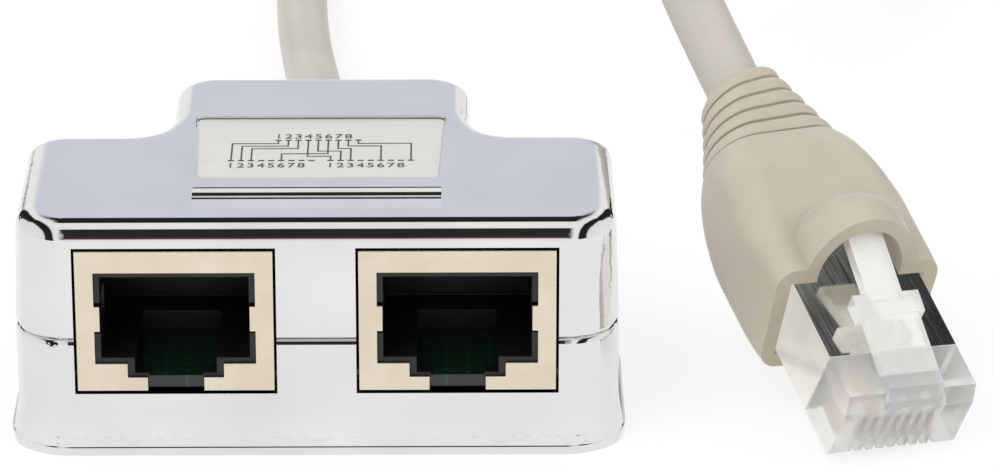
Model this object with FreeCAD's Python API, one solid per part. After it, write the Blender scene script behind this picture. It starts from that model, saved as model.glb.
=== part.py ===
import math
import os

from FreeCAD import Placement, Rotation, Vector
import Part

# Network splitter with two shielded sockets in front and a short cord with a booted plug at the rear.
# Millimetres, +Z up. The origin is the centre of the housing's footprint, on the surface it stands on.
# The sockets face -Y, and the cord leaves through the neck at +Y.

# Housing, sizes of the outer form at the parting plane
housing_height = 20.4
parting_height = 10.0
body_half_width = 24.3
front_face = -16.4
wing_rear = 3.6
neck_half_width = 12.25
neck_rear = 16.65
front_corner = 4.3
wing_corner = 3.6
neck_fillet = 4.0
neck_corner = 4.0
side_draft_deg = 5.0
front_draft_deg = 1.5
top_round = 1.6
parting_round = 0.35
wall = 1.6

# Foot of the lower shell
foot_flare = 0.85
foot_flare_front = 1.1
foot_height = 0.75
flare_height = 3.4
flare_profile = ((0.0, 0.94), (0.25, 0.44), (0.6, 0.12), (1.0, 0.0))

# Lap joint between the shells
lap_height = 1.0
lap_thickness = 0.7
lap_clearance = 0.1

# Label pocket and grip recess in the top
label_half_width = 9.5
label_front = -6.75
label_rear = 6.25
label_corner = 0.6
label_thickness = 0.15
label_clearance = 0.15
pocket_depth = 0.4
grip_half_width = 9.75
grip_rear = -8.9
grip_front = -13.3
grip_depth = 0.7

# Sockets, placed and sized from the housing that they are set in
jack_pitch = 0.4681 * 2 * body_half_width
jack_width = 0.3272 * 2 * body_half_width
jack_roof_gap = 1.1
jack_bottom = 5.5
jack_top = housing_height - wall - jack_roof_gap
jack_front = front_face + 0.1
jack_depth = 15.6
jack_sheet = 0.25
window_gap = 0.22
rib_thickness = 1.0
rib_front_setback = 3.0
rib_rear_setback = 1.0
plate_side = 1.475
plate_roof = 1.9
opening_half_width = jack_width / 2 - plate_side
opening_bottom = 7.9
opening_top = jack_top - plate_roof
step_half_width = 3.88
step_bottom = 6.69
slot_half_width = 2.265
tab_reach = 0.45
tab_bottom = (opening_bottom + opening_top) / 2 - 1.15
tab_top = tab_bottom + 2.2
tab_length = 4.6
tab_spring = ((0.0, 0.0), (0.35, -0.1), (0.8, 0.35), (1.0, 0.35))
insert_lip = 0.5
insert_sill = 0.45
cavity_half_width = opening_half_width - insert_lip
cavity_bottom = opening_bottom + insert_sill
cavity_top = opening_top - insert_sill
cavity_depth = 12.8
latch_half_width = 3.3
latch_slot_half_width = 2.15
latch_ledge = 1.5
latch_sill = 0.3
latch_stop = 3.0
tab_clearance = 0.4
peg_width = 1.2
peg_place = jack_front + 8.3
peg_length = 1.8

# Contacts in the sockets
contact_count = 8
contact_pitch = 1.02
contact_width = 0.4
contact_thickness = 0.3
comb_clearance = 0.11
contact_run_height = cavity_top + 0.95
contact_bend = 1.7
contact_tip = 8.2
contact_tip_drop = 2.5
contact_tail = 0.7
contact_leg = jack_front + cavity_depth + 1.1

# Circuit board
board_top = 6.6
board_thickness = 1.0
board_half_width = body_half_width - wall - 1.1
board_setback = 0.6
board_rear = wing_rear - wall - 0.8
tongue_half_width = 6.2
tongue_rear = board_rear + 4.8
board_corner = 1.0
hole_clearance = 0.25
post_diameter = 2.8
post_inset = 1.8

# Screws, driven from below
screw_places = {
    "front": (0.0, front_face + 7.8),
    "left": (4.35 - neck_half_width, neck_rear - 7.05),
    "right": (neck_half_width - 4.35, neck_rear - 7.05),
}
screw_shank = 2.2
screw_length = 11.0
screw_head = 4.0
screw_head_height = 1.5
screw_head_round = 0.45
screw_head_gap = 0.2
screw_shank_gap = 0.3
screw_seat = 3.2
pilot_gap = 0.05
pilot_spare = 0.5
boss_diameter = 5.4
cross_width = 0.6
cross_length = 2.4
cross_depth = 0.9

# Cord, collar and leads
cable_diameter = 5.0
collar_nose = 7.0
collar_body = 8.0
collar_flange = 10.5
collar_proud = 0.95
collar_flange_length = 2.0
collar_flange_front = neck_rear - wall - 0.6 - collar_flange_length
collar_front = collar_flange_front - 1.2
collar_chamfer = 0.3
collar_gap = 0.1
saddle_thickness = 1.4
saddle_margin = 0.4
lead_diameter = 0.9
lead_pitch = 1.3
lead_pitch_at_collar = 0.62
lead_row = 0.5
lead_straight = 1.8

# Plug, in its own frame: x across, y from the nose to the rear, z from the contact side to the latch
plug_width = 11.68
plug_height = 6.6
plug_nose_length = 4.9
plug_length = 20.6
plug_sheet = 0.25
plug_sheet_gap = 0.03
nose_chamfer = 0.6
nose_face_drop = 1.6
nose_edge = 0.25
slot_width = 0.5
slot_length = 6.0
slot_height = 1.5
blade_thickness = 0.3
blade_front = 1.45
blade_rear = 5.5
blade_bottom = 0.35
wire_diameter = 0.95
wire_height = 3.6
wire_front = 1.6
wire_gap = 0.05
latch_root_width = 5.0
latch_shoulder_width = 6.1
latch_lever_width = 3.25
latch_shoulder_front = 6.9
latch_shoulder_rear = 8.8
latch_end = 14.6
latch_thickness = 1.0
latch_root_slope = 0.2
latch_lever_slope = 0.24
latch_lift = 0.45

# Boot over the rear of the plug. Its tail is bent sideways, along a cubic curve from boot_bend_start on.
boot_length = 39.0
boot_wall = 1.15
boot_fit = 0.15
boot_mouth_bottom = 11.2
boot_mouth_slope = 0.26
boot_shoulder = 31.8
boot_shoulder_half_width = 5.85
boot_shoulder_half_height = 3.85
boot_tail_half_width = 3.6
boot_tail_half_height = 3.4
boot_bend_start = 24.0
boot_end_slope = 0.25
# Body sections: distance from the nose, then how much wider, lower and higher than the mouth, and the corner
boot_form = (
    (10.2, 0.0, 0.0, 0.0, 1.7),
    (17.0, 0.25, -0.25, 0.1, 2.2),
    (23.5, 0.1, -0.15, 0.0, 2.8),
    (28.8, -0.5, 0.2, -0.2, 3.1),
)
groove_count = 5
groove_width = 0.3
groove_depth = 0.5
rib_sink = 0.14
hood_wall = 1.1
hood_height = 0.7
hood_end = 15.8
arch_radius = 3.75

# Where the plug lies: the middle of its nose on the ground, and how it is turned
nose_x = 46.55
nose_y = -16.84
plug_yaw_deg = 21.5
plug_pitch_deg = 27.0
plug_roll_deg = 5.5

# Route of the cord from the collar, chosen by hand, up to the run that is in line with the boot
cord_points = [
    Vector(0.0, neck_rear + collar_proud, parting_height),
    Vector(0.0, neck_rear + collar_proud + 17.4, parting_height),
    Vector(-0.8, 54.0, 3.4),
    Vector(-2.0, 76.0, 2.6),
    Vector(-3.5, 98.0, 2.6),
    Vector(4.0, 120.5, 2.6),
    Vector(24.0, 132.5, 2.6),
    Vector(46.5, 126.0, 2.6),
    Vector(58.0, 106.0, 2.6),
    Vector(54.0, 85.0, 8.0),
    Vector(38.5, 69.5, 22.5),
    Vector(25.5, 48.0, 32.5),
]
boot_run = 20.0
arc_share = 0.45


def rounded_outline(points, radii):
    """A closed wire through the corner points, each corner rounded by a tangent arc of its radius."""
    edges = []
    starts = []
    count = len(points)
    for i in range(count):
        corner = points[i]
        before = (points[i - 1] - corner).normalize()
        after = (points[(i + 1) % count] - corner).normalize()
        half_turn = (math.pi - before.getAngle(after)) / 2
        reach = radii[i] * math.tan(half_turn)
        start = corner + before * reach
        end = corner + after * reach
        bisector = (before + after).normalize()
        middle = corner + bisector * (radii[i] / math.cos(half_turn) - radii[i])
        starts.append((start, middle, end))
    for i, (start, middle, end) in enumerate(starts):
        edges.append(Part.Arc(start, middle, end).toShape())
        following = starts[(i + 1) % count][0]
        if end.distanceToPoint(following) > 1e-6:
            edges.append(Part.LineSegment(end, following).toShape())
    return Part.Wire(edges)


def prism(points, travel):
    """A straight solid from a flat polygon."""
    return Part.Face(Part.makePolygon(points + [points[0]])).extrude(travel)


def block(x0, x1, y0, y1, z0, z1):
    return Part.makeBox(x1 - x0, y1 - y0, z1 - z0, Vector(x0, y0, z0))


def strip_outline(points, thickness):
    """A bent strip's outline from its centre points: even thickness, mitred at each bend."""
    runs = [(after - before).normalize() for before, after in zip(points, points[1:])]
    normal = runs[0].cross(runs[1]).normalize()
    near = []
    far = []
    for i, point in enumerate(points):
        before = runs[max(i - 1, 0)]
        after = runs[min(i, len(runs) - 1)]
        side = normal.cross((before + after).normalize())
        reach = thickness / 2 / side.dot(normal.cross(after))
        near.append(point + side * reach)
        far.append(point - side * reach)
    return near + far[::-1]


def strip(points, thickness, width_axis, width):
    """A bent strip of sheet or wire, centred on its points across its width."""
    outline = [point - width_axis * (width / 2) for point in strip_outline(points, thickness)]
    return prism(outline, width_axis * width)


def route_path(points):
    """Straight runs joined by tangent arcs, each as large as its two runs allow, and the arcs' radii."""
    edges = []
    radii = []
    here = points[0]
    for i in range(1, len(points) - 1):
        corner = points[i]
        before = points[i - 1] - corner
        after = points[i + 1] - corner
        half_turn = (math.pi - before.getAngle(after)) / 2
        reach = arc_share * min(before.Length, after.Length)
        radius = reach / math.tan(half_turn)
        start = corner + Vector(before).normalize() * reach
        end = corner + Vector(after).normalize() * reach
        bisector = (Vector(before).normalize() + Vector(after).normalize()).normalize()
        middle = corner + bisector * (radius / math.cos(half_turn) - radius)
        edges.append(Part.LineSegment(here, start).toShape())
        edges.append(Part.Arc(start, middle, end).toShape())
        radii.append(radius)
        here = end
    edges.append(Part.LineSegment(here, points[-1]).toShape())
    return Part.Wire(edges), radii


def tube(points, diameter):
    """A round cord or wire along a route."""
    path, radii = route_path(points)
    circle = Part.makeCircle(diameter / 2, points[0], points[1] - points[0])
    solid = path.makePipeShell([Part.Wire(circle)], True, True)
    return solid, path.Length, radii


def plan(inset, height, front_inset=None):
    """The housing's T-shaped outline, set in by the given amounts from the parting plane's."""
    front_inset = inset if front_inset is None else front_inset
    width = body_half_width - inset
    neck = neck_half_width - inset
    front = front_face + front_inset
    wings = wing_rear - inset
    rear = neck_rear - inset
    corners = [
        (-width, front, front_corner - inset),
        (width, front, front_corner - inset),
        (width, wings, wing_corner - inset),
        (neck, wings, neck_fillet + inset),
        (neck, rear, neck_corner - inset),
        (-neck, rear, neck_corner - inset),
        (-neck, wings, neck_fillet + inset),
        (-width, wings, wing_corner - inset),
    ]
    return rounded_outline([Vector(x, y, height) for x, y, _ in corners], [r for _, _, r in corners])


def side_draft(height):
    return abs(height - parting_height) * math.tan(math.radians(side_draft_deg))


def front_draft(height):
    return abs(height - parting_height) * math.tan(math.radians(front_draft_deg))


def flat_edges(shape, height):
    """The edges that lie in the level plane at this height."""
    boxes = [(edge, edge.BoundBox) for edge in shape.Edges]
    return [edge for edge, box in boxes if max(abs(box.ZMin - height), abs(box.ZMax - height)) < 1e-4]


def lap_block(inset, height):
    """A solid that stands on the parting plane, with the housing's outline set in by inset."""
    return Part.Face(plan(inset, parting_height)).extrude(Vector(0, 0, height))


def jack_centres():
    return {"left": -jack_pitch / 2, "right": jack_pitch / 2}


def jack_windows():
    """The two openings in the front wall that the socket cans stand in."""
    half = jack_width / 2 + window_gap
    inner_side = front_face + 2 * wall
    return [
        block(x - half, x + half, front_face - wall, inner_side, jack_bottom - window_gap, jack_top + window_gap)
        for x in jack_centres().values()
    ]


def cable_hole():
    """The hole in the rear wall for the collar."""
    centre = Vector(0, neck_rear - 2 * wall, parting_height)
    return Part.makeCylinder(collar_body / 2 + collar_gap, 3 * wall, centre, Vector(0, 1, 0))


def upper_shell():
    outer = Part.makeLoft(
        [
            plan(0, parting_height),
            plan(side_draft(housing_height), housing_height, front_draft(housing_height)),
        ],
        True,
        True,
    )
    outer = outer.makeFillet(top_round, flat_edges(outer, housing_height))
    outer = outer.makeFillet(parting_round, flat_edges(outer, parting_height))
    ceiling = housing_height - wall
    inner = Part.makeLoft(
        [
            plan(wall, parting_height),
            plan(wall + side_draft(ceiling), ceiling, wall + front_draft(ceiling)),
        ],
        True,
        True,
    )
    rebate = lap_block(wall - lap_thickness - lap_clearance, lap_height + lap_clearance)
    shell = outer.cut([inner, rebate])
    pocket_wire = rounded_outline(
        [
            Vector(x, y, housing_height - pocket_depth)
            for x, y in (
                (-label_half_width - label_clearance, label_front - label_clearance),
                (label_half_width + label_clearance, label_front - label_clearance),
                (label_half_width + label_clearance, label_rear + label_clearance),
                (-label_half_width - label_clearance, label_rear + label_clearance),
            )
        ],
        [label_corner + label_clearance] * 4,
    )
    pocket = Part.Face(pocket_wire).extrude(Vector(0, 0, 2 * pocket_depth))
    grip = prism(
        [
            Vector(-grip_half_width, grip_rear, housing_height + pocket_depth),
            Vector(-grip_half_width, grip_rear, housing_height - grip_depth),
            Vector(-grip_half_width, grip_front, housing_height),
            Vector(-grip_half_width, grip_front, housing_height + pocket_depth),
        ],
        Vector(2 * grip_half_width, 0, 0),
    )
    shell = shell.cut([pocket, grip])
    additions = [screw_boss(place, parting_height, ceiling) for place in screw_places.values()]
    additions += hold_down_ribs(ceiling)
    additions += [collar_saddle(parting_height, ceiling)]
    shell = shell.fuse(additions)
    pilots = [pilot_hole(place) for place in screw_places.values()]
    return shell.cut(jack_windows() + [cable_hole(), collar_seat()] + pilots).removeSplitter()


def hold_down_ribs(ceiling):
    """Ribs under the ceiling that press on the tops of the socket cans."""
    ribs = []
    for centre in jack_centres().values():
        for offset in (-jack_width / 4, jack_width / 4):
            x0 = centre + offset - rib_thickness / 2
            y0 = jack_front + rib_front_setback
            y1 = jack_front + jack_depth - rib_rear_setback
            ribs.append(block(x0, x0 + rib_thickness, y0, y1, jack_top, ceiling + wall / 8))
    return ribs


def screw_boss(place, bottom, top):
    return Part.makeCylinder(boss_diameter / 2, top - bottom, Vector(place[0], place[1], bottom))


def pilot_hole(place):
    depth = screw_seat + screw_length + pilot_spare - parting_height
    return Part.makeCylinder(screw_shank / 2 + pilot_gap, depth, Vector(place[0], place[1], parting_height))


def collar_saddle(bottom, top):
    """A cross wall in the neck that grips the collar in front of its flange."""
    half = collar_flange / 2 + saddle_margin
    return block(-half, half, collar_flange_front - saddle_thickness, neck_rear - wall, bottom, top)


def collar_seat():
    """The round space for the collar and its flange between the two shells."""
    axis = Vector(0, 1, 0)
    flange = Part.makeCylinder(
        collar_flange / 2 + collar_gap,
        collar_flange_length + 2 * collar_gap,
        Vector(0, collar_flange_front - collar_gap, parting_height),
        axis,
    )
    body = Part.makeCylinder(
        collar_body / 2 + collar_gap,
        neck_rear - collar_flange_front + wall,
        Vector(0, collar_flange_front - wall, parting_height),
        axis,
    )
    return flange.fuse(body)


def lower_shell():
    profile = []
    for share, out in flare_profile:
        height = foot_height + share * (flare_height - foot_height)
        profile.append(plan(-foot_flare * out, height, -foot_flare_front * out))
    flare = Part.makeLoft(profile, True, False)
    foot = Part.Face(plan(-foot_flare, 0, -foot_flare_front)).extrude(Vector(0, 0, foot_height))
    foot = foot.makeFillet(0.25, flat_edges(foot, 0))
    walls = Part.Face(plan(0, flare_height)).extrude(Vector(0, 0, parting_height - flare_height))
    walls = walls.makeFillet(parting_round, flat_edges(walls, parting_height))
    outer = foot.fuse([flare, walls])
    inner = Part.Face(plan(wall, wall)).extrude(Vector(0, 0, parting_height))
    lap = lap_block(wall - lap_thickness, lap_height).cut(lap_block(wall, lap_height))
    shell = outer.cut(inner).fuse(lap)
    bosses = [screw_boss(place, wall / 2, parting_height) for place in screw_places.values()]
    post_height = board_top - board_thickness - wall / 2
    posts = [
        Part.makeCylinder(post_diameter / 2, post_height, Vector(x, y, wall / 2))
        for x in (post_inset - board_half_width, board_half_width - post_inset)
        for y in (front_face + wall + hole_clearance + post_inset, board_rear - post_inset)
    ]
    shell = shell.fuse(bosses + posts + [collar_saddle(wall / 2, parting_height)])
    holes = []
    for x, y in screw_places.values():
        holes.append(Part.makeCylinder(screw_head / 2 + screw_head_gap, screw_seat, Vector(x, y, 0)))
        holes.append(Part.makeCylinder(screw_shank / 2 + screw_shank_gap, parting_height, Vector(x, y, 0)))
    return shell.cut(jack_windows() + [cable_hole(), collar_seat()] + holes).removeSplitter()


def case_screw(place):
    """A pan head screw, its head up in the lower shell's well, with a cross recess."""
    x, y = place
    low = screw_seat - screw_head_height
    shank = Part.makeCylinder(screw_shank / 2, screw_length, Vector(x, y, screw_seat))
    head = Part.makeCylinder(screw_head / 2, screw_head_height, Vector(x, y, low))
    head = head.makeFillet(screw_head_round, flat_edges(head, low))
    long = cross_length / 2
    short = cross_width / 2
    arms = [
        block(x - long, x + long, y - short, y + short, low, low + cross_depth),
        block(x - short, x + short, y - long, y + long, low, low + cross_depth),
    ]
    return head.fuse(shank).cut(arms).removeSplitter()


def wiring_label():
    floor = housing_height - pocket_depth
    corners = [
        Vector(-label_half_width, label_front, floor),
        Vector(label_half_width, label_front, floor),
        Vector(label_half_width, label_rear, floor),
        Vector(-label_half_width, label_rear, floor),
    ]
    return Part.Face(rounded_outline(corners, [label_corner] * 4)).extrude(Vector(0, 0, label_thickness))


def jack_opening(centre, y0, y1):
    """The stepped opening of the can's front plate, with the places of its two spring tabs."""
    right = [
        (slot_half_width, jack_bottom - 1),
        (slot_half_width, step_bottom),
        (step_half_width, step_bottom),
        (step_half_width, opening_bottom),
        (opening_half_width, opening_bottom),
        (opening_half_width, tab_bottom),
        (opening_half_width - tab_reach, tab_bottom),
        (opening_half_width - tab_reach, tab_top),
        (opening_half_width, tab_top),
        (opening_half_width, opening_top),
    ]
    left = [(-x, z) for x, z in right[::-1]]
    outline = [Vector(centre + x, y0, z) for x, z in right + left]
    return prism(outline, Vector(0, y1 - y0, 0))


def jack_shield(centre):
    """The folded sheet can of one socket: front plate, top, sides and rear, two pegs and two spring tabs."""
    half = jack_width / 2
    rear = jack_front + jack_depth
    can = block(centre - half, centre + half, jack_front, rear, board_top, jack_top)
    inside = block(
        centre - half + jack_sheet,
        centre + half - jack_sheet,
        jack_front + jack_sheet,
        rear - jack_sheet,
        board_top - 1,
        jack_top - jack_sheet,
    )
    apron = block(centre - half, centre + half, jack_front, jack_front + jack_sheet, jack_bottom, board_top + 1)
    shield = can.cut(inside).fuse(apron)
    shield = shield.cut(jack_opening(centre, jack_front - 1, jack_front + 2 * jack_sheet))
    pieces = []
    for side in (-1, 1):
        outer = centre + side * half
        inner = outer - side * jack_sheet
        x0, x1 = sorted((outer, inner))
        low = board_top - peg_length
        pieces.append(
            block(x0, x1, peg_place - peg_width / 2, peg_place + peg_width / 2, low, board_top + 0.5)
        )
        edge = centre + side * (opening_half_width - tab_reach + jack_sheet / 2)
        middle = (tab_bottom + tab_top) / 2
        bend = [
            Vector(edge + side * outward, jack_front + share * tab_length, middle)
            for share, outward in tab_spring
        ]
        pieces.append(strip(bend, jack_sheet, Vector(0, 0, 1), tab_top - tab_bottom))
    return shield.fuse(pieces).removeSplitter()


def contact_offsets():
    first = -(contact_count - 1) / 2 * contact_pitch
    return [first + i * contact_pitch for i in range(contact_count)]


def jack_insert(centre):
    """The black moulding in the can: plug cavity, latch channel, tab slots and a comb for the contacts."""
    half = jack_width / 2 - jack_sheet
    front = jack_front + jack_sheet
    rear = jack_front + jack_depth - jack_sheet
    top = jack_top - jack_sheet
    body = block(centre - half, centre + half, front, rear, board_top, top)
    back = jack_front + cavity_depth
    ledge_end = front + latch_ledge
    cuts = [
        block(centre - half_width, centre + half_width, y0, y1, z0, z1)
        for half_width, y0, y1, z0, z1 in (
            (cavity_half_width, front, back, cavity_bottom, cavity_top),
            (latch_half_width, front, ledge_end, step_bottom + latch_sill, cavity_bottom),
            (latch_slot_half_width, front, ledge_end, board_top, cavity_bottom),
            (latch_half_width, ledge_end, back - latch_stop, board_top, cavity_bottom),
        )
    ]
    tab_end = jack_front + tab_length + tab_clearance
    for side in (-1, 1):
        x0, x1 = sorted((centre + side * cavity_half_width, centre + side * (half - tab_clearance)))
        cuts.append(block(x0, x1, front, tab_end, tab_bottom - tab_clearance / 2, tab_top + tab_clearance / 2))
    slot_half = contact_width / 2 + comb_clearance
    run_top = contact_run_height + contact_thickness / 2 + comb_clearance
    leg_half = contact_thickness / 2 + comb_clearance
    comb_front = jack_front + contact_bend - contact_width
    for offset in contact_offsets():
        x0 = centre + offset - slot_half
        x1 = centre + offset + slot_half
        cuts.append(block(x0, x1, comb_front, contact_leg, cavity_top, run_top))
        cuts.append(block(x0, x1, contact_leg - leg_half, contact_leg + leg_half, board_top, run_top))
    return body.cut(cuts).removeSplitter()


def jack_contact(x):
    """One sprung contact: pin through the board, rear leg, run along the roof and the tip sloping back down."""
    bend = jack_front + contact_bend
    points = [
        Vector(x, contact_leg, board_top - board_thickness - contact_tail),
        Vector(x, contact_leg, contact_run_height),
        Vector(x, bend, contact_run_height),
        Vector(x, bend + contact_thickness / 3, cavity_top - contact_thickness / 3),
        Vector(x, jack_front + contact_tip, cavity_top - contact_tip_drop),
    ]
    return strip(points, contact_thickness, Vector(1, 0, 0), contact_width)


def circuit_board():
    """The board under both sockets, with a tongue for the leads, and holes for pins, pegs and the front screw."""
    bottom = board_top - board_thickness
    shoulder = front_face + wall + hole_clearance
    corners = [
        (-board_half_width, shoulder),
        (board_half_width, shoulder),
        (board_half_width, board_rear),
        (tongue_half_width, board_rear),
        (tongue_half_width, tongue_rear),
        (-tongue_half_width, tongue_rear),
        (-tongue_half_width, board_rear),
        (-board_half_width, board_rear),
    ]
    outline = rounded_outline([Vector(x, y, bottom) for x, y in corners], [board_corner] * len(corners))
    board = Part.Face(outline).extrude(Vector(0, 0, board_thickness))
    tab_half = jack_width / 2 - 2 * hole_clearance
    tabs = [
        block(x - tab_half, x + tab_half, jack_front + board_setback, shoulder + 1, bottom, board_top)
        for x in jack_centres().values()
    ]
    low = bottom - board_thickness / 2
    depth = 2 * board_thickness
    x, y = screw_places["front"]
    holes = [Part.makeCylinder(boss_diameter / 2 + 2 * hole_clearance, depth, Vector(x, y, low))]
    pin_radius = (contact_width + hole_clearance) / 2
    half = peg_width / 2 + hole_clearance
    for centre in jack_centres().values():
        for offset in contact_offsets():
            holes.append(Part.makeCylinder(pin_radius, depth, Vector(centre + offset, contact_leg, low)))
        for side in (-1, 1):
            outer = centre + side * (jack_width / 2 + hole_clearance)
            inner = centre + side * (jack_width / 2 - jack_sheet - hole_clearance)
            x0, x1 = sorted((outer, inner))
            holes.append(block(x0, x1, peg_place - half, peg_place + half, low, low + depth))
    return board.fuse(tabs).cut(holes).removeSplitter()


def cable_collar():
    """The moulded collar that is trapped between the shells, with its nose just proud of the rear wall."""
    flange_rear = collar_flange_front + collar_flange_length
    profile = [
        (0, collar_front),
        (collar_body / 2, collar_front),
        (collar_body / 2, collar_flange_front),
        (collar_flange / 2, collar_flange_front),
        (collar_flange / 2, flange_rear),
        (collar_body / 2, flange_rear),
        (collar_body / 2, neck_rear - collar_chamfer),
        (collar_nose / 2, neck_rear + collar_proud),
        (0, neck_rear + collar_proud),
    ]
    points = [Vector(radius, y, parting_height) for radius, y in profile]
    face = Part.Face(Part.makePolygon(points + [points[0]]))
    return face.revolve(Vector(0, 0, parting_height), Vector(0, 1, 0), 360)


def lead(index):
    """One lead from the collar's front face down to its pad on the board's tongue."""
    offset = index - (contact_count - 1) / 2
    height = parting_height + (lead_row if index % 2 else -lead_row)
    pad = tongue_rear - lead_pitch
    points = [
        Vector(offset * lead_pitch_at_collar, collar_front, height),
        Vector(offset * lead_pitch_at_collar, collar_front - lead_straight, height),
        Vector(offset * lead_pitch, pad, board_top + lead_straight),
        Vector(offset * lead_pitch, pad, board_top),
    ]
    return tube(points, lead_diameter)[0]


def plug_placement():
    turn = (
        Rotation(Vector(0, 0, 1), plug_yaw_deg)
        * Rotation(Vector(1, 0, 0), plug_pitch_deg)
        * Rotation(Vector(0, 1, 0), plug_roll_deg)
    )
    across = turn.multVec(Vector(1, 0, 0))
    along = turn.multVec(Vector(0, 1, 0))
    return Placement(Vector(nose_x, nose_y, abs(across.z) * plug_width / 2 - along.z * nose_edge), turn)


def plug_body():
    """The clear moulding: nose, shank inside the shield, contact slots, conductor space and the latch."""
    half = plug_width / 2
    nose = prism(
        [
            Vector(-half, nose_edge, 0),
            Vector(-half, plug_nose_length, 0),
            Vector(-half, plug_nose_length, plug_height),
            Vector(-half, nose_chamfer, plug_height),
            Vector(-half, 0, plug_height - nose_face_drop),
            Vector(-half, 0, nose_edge),
        ],
        Vector(plug_width, 0, 0),
    )
    skin = plug_sheet + plug_sheet_gap
    shank = block(skin - half, half - skin, plug_nose_length, plug_length, skin, plug_height - skin)
    blade_gap = (slot_width - blade_thickness) / 2
    cuts = []
    for x in contact_offsets():
        x0 = x - slot_width / 2
        x1 = x + slot_width / 2
        cuts.append(block(x0, x1, -slot_height, slot_length, -slot_height, slot_height))
        cuts.append(block(x0, x1, blade_front - blade_gap, blade_rear + blade_gap, 0, wire_height))
    space_half = contact_pitch * contact_count / 2 + blade_gap
    space_rise = wire_diameter / 2 + wire_gap
    low = wire_height - space_rise
    cuts.append(block(-space_half, space_half, wire_front - wire_gap, plug_length, low, wire_height + space_rise))
    return nose.fuse([shank] + latch_solids()).cut(cuts).removeSplitter()


def latch_solids():
    """The spring latch: root bent up from the nose, wide shoulders, and the lever that rises to the rear."""
    top = plug_height
    shoulder = latch_shoulder_front
    rear = latch_shoulder_rear
    rise = top + latch_lift + latch_root_slope * shoulder
    tip = rise + 0.7 + latch_lever_slope * (latch_end - rear)
    root = [
        (0.05, top - 1.4),
        (-0.15, top - 0.3),
        (0.45, top + 0.75),
        (shoulder + 0.2, rise + 0.35),
        (shoulder + 0.2, rise - 0.6),
        (2.4, top + 0.1),
        (1.6, top - 0.4),
    ]
    shoulders = [
        (shoulder, rise - 0.75),
        (shoulder, rise + 0.45),
        (rear, rise + 0.85),
        (rear, rise - 0.55),
    ]
    lever = [
        (rear - 0.3, rise - 0.35),
        (rear - 0.3, rise + 0.65),
        (latch_end, tip),
        (latch_end, tip - latch_thickness),
    ]
    widths = (latch_root_width, latch_shoulder_width, latch_lever_width)
    return [
        prism([Vector(-width / 2, y, z) for y, z in profile], Vector(width, 0, 0))
        for profile, width in zip((root, shoulders, lever), widths)
    ]


def plug_shield():
    """The sheet sleeve round the plug's shank."""
    half = plug_width / 2
    outer = block(-half, half, plug_nose_length, plug_length, 0, plug_height)
    inner = block(
        plug_sheet - half,
        half - plug_sheet,
        plug_nose_length - 1,
        plug_length + 1,
        plug_sheet,
        plug_height - plug_sheet,
    )
    return outer.cut(inner)


def plug_contact(x):
    """One gold plated blade: insulation piercing points above, rounded contact corner below."""
    top = wire_height - wire_diameter / 2 - 0.08
    notch = top - 0.5
    profile = [
        (blade_front + 0.5, blade_bottom),
        (blade_front + 0.12, blade_bottom + 0.15),
        (blade_front, blade_bottom + 0.5),
        (blade_front, notch),
        (blade_front + 1.0, top),
        (blade_front + 2.0, notch),
        (blade_rear - 1.0, top),
        (blade_rear, notch),
        (blade_rear, blade_bottom + 0.3),
    ]
    return prism([Vector(x - blade_thickness / 2, y, z) for y, z in profile], Vector(blade_thickness, 0, 0))


def plug_wire(x):
    """One conductor, from behind the nose to the rear of the plug."""
    start = Vector(x, wire_front, wire_height)
    return Part.makeCylinder(wire_diameter / 2, plug_length - wire_front, start, Vector(0, 1, 0))


def boot_bend(y):
    """How far the boot's middle line has moved sideways at y, and its slope there."""
    run = max(y - boot_bend_start, 0)
    slope = boot_end_slope * (run / (boot_length - boot_bend_start)) ** 2
    return slope * run / 3, slope


def boot_section(y, half_width, low, high, corner):
    """A rounded section square to the boot's bent middle line."""
    shift, slope = boot_bend(y)
    corners = [(-half_width, low), (half_width, low), (half_width, high), (-half_width, high)]
    section = rounded_outline([Vector(x, 0, z) for x, z in corners], [corner] * 4)
    section.Placement = Placement(Vector(-shift, y, 0), Rotation(Vector(0, 0, 1), math.degrees(math.atan(slope))))
    return section


def boot_taper(y, sink):
    """A section of the ribbed tail at y, set in by sink, between the shoulder's and the tail's sizes."""
    share = (y - boot_shoulder) / (boot_length - boot_shoulder)
    half_width = boot_shoulder_half_width + share * (boot_tail_half_width - boot_shoulder_half_width) - sink
    half_height = boot_shoulder_half_height + share * (boot_tail_half_height - boot_shoulder_half_height) - sink
    middle = plug_height / 2
    return boot_section(y, half_width, middle - half_height, middle + half_height, 0.92 * half_height)


def boot_tail():
    """The ribs round the cord's end, with a groove in front of each."""
    pitch = (boot_length - boot_shoulder) / groove_count
    starts = [boot_shoulder + i * pitch for i in range(groove_count)]
    core = [boot_taper(y, groove_depth) for y in [boot_shoulder - pitch] + starts + [boot_length - groove_width]]
    solids = [Part.makeLoft(core, True, False)]
    for start in starts:
        front = start + groove_width
        rear = start + pitch
        edge = (rear - front) / 4
        rib = [
            boot_taper(front, rib_sink),
            boot_taper(front + edge, 0),
            boot_taper(rear - edge, 0),
            boot_taper(rear, rib_sink),
        ]
        solids.append(Part.makeLoft(rib, True, False))
    return solids


def boot_body():
    """The boot's main form, from in front of its mouth to the first groove."""
    half = plug_width / 2 + boot_fit + boot_wall
    low = -boot_fit - boot_wall
    high = plug_height + boot_fit + boot_wall
    sections = [boot_section(y, half + wider, low + lower, high + higher, corner)
                for y, wider, lower, higher, corner in boot_form]
    return Part.makeLoft(sections + [boot_taper(boot_shoulder, 0)], True, False)


def dome(radius):
    """A round-ended bar along the boot, over the latch."""
    centre = Vector(0, hood_end, plug_height + hood_height)
    bar = Part.makeCylinder(radius, hood_end, centre, Vector(0, -1, 0))
    return bar.fuse(Part.makeSphere(radius, centre))


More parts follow.
